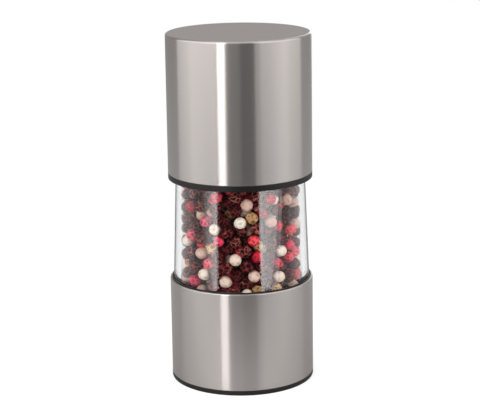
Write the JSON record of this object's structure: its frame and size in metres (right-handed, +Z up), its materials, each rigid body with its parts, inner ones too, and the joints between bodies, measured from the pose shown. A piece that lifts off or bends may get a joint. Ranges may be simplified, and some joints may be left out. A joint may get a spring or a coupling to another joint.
{
  "type": "pepper mill",
  "caption": "Cylindrical twist pepper mill: steel cap and base, clear window of mixed peppercorns, ceramic burrs turned by a square spindle.",
  "frame": {"origin": "centre of the foot, on the surface the mill stands on", "axes": "+Z up along the mill's axis, from the foot to the cap"},
  "size_m": [0.055, 0.055, 0.1341],
  "materials": {
    "brushed_steel": "stainless sheet, brushed around the axis",
    "black_plastic": "moulded, satin",
    "clear_plastic": "clear, polished",
    "ivory_plastic": "moulded, slippery",
    "silicone": "soft, matt",
    "white_ceramic": "sintered, unglazed",
    "bright_steel": "drawn, bright",
    "brass": "turned",
    "black_pepper": "dried, wrinkled",
    "white_pepper": "dried, smooth",
    "pink_pepper": "dried, thin crumpled skin",
    "green_pepper": "dried, wrinkled"
  },
  "bodies": {
    "base": {"base_sleeve": "brushed_steel", "base_housing": "black_plastic", "foot_ring": "black_plastic", "container": "clear_plastic", "container_seal": "silicone", "grinder_frame": "black_plastic", "bridge_bush": "ivory_plastic", "stator_burr": "white_ceramic", "stator_retainer": "black_plastic", "grinder_screws": "bright_steel", "black_peppercorns": "black_pepper", "white_peppercorns": "white_pepper", "pink_peppercorns": "pink_pepper", "green_peppercorns": "green_pepper"},
    "drive": {"spindle": "bright_steel", "spindle_clip": "bright_steel", "spring_washer": "bright_steel", "grind_spring": "bright_steel"},
    "cap": {"cap_shell": "brushed_steel", "cap_liner": "black_plastic", "drive_socket": "ivory_plastic", "cap_grip_ring": "silicone"},
    "rotor": {"rotor_burr": "white_ceramic", "rotor_hub": "ivory_plastic", "thrust_washer": "bright_steel"},
    "adjuster": {"adjuster_knob": "black_plastic", "knob_insert": "brass"}
  },
  "joints": [
    {"name": "grind_turn", "type": "hinge", "parent": "base", "child": "drive", "pos_m": [0, 0, 0.028], "axis": [0, 0, 1], "continuous": true},
    {"name": "cap_lift", "type": "slide", "parent": "drive", "child": "cap", "axis": [0, 0, 1], "range_m": [0, 0.045]},
    {"name": "burr_feed", "type": "slide", "parent": "drive", "child": "rotor", "axis": [0, 0, 1], "range_m": [-0.0007, 0.00035], "deforming": ["grind_spring"]},
    {"name": "grind_adjust", "type": "hinge", "parent": "rotor", "child": "adjuster", "pos_m": [0, 0, 0.0045], "axis": [0, 0, 1], "range_deg": [-360, 180]}
  ],
  "couplings": [
    {"joint": "grind_adjust", "follows": "burr_feed", "rad_per_m": 8976}
  ]
}
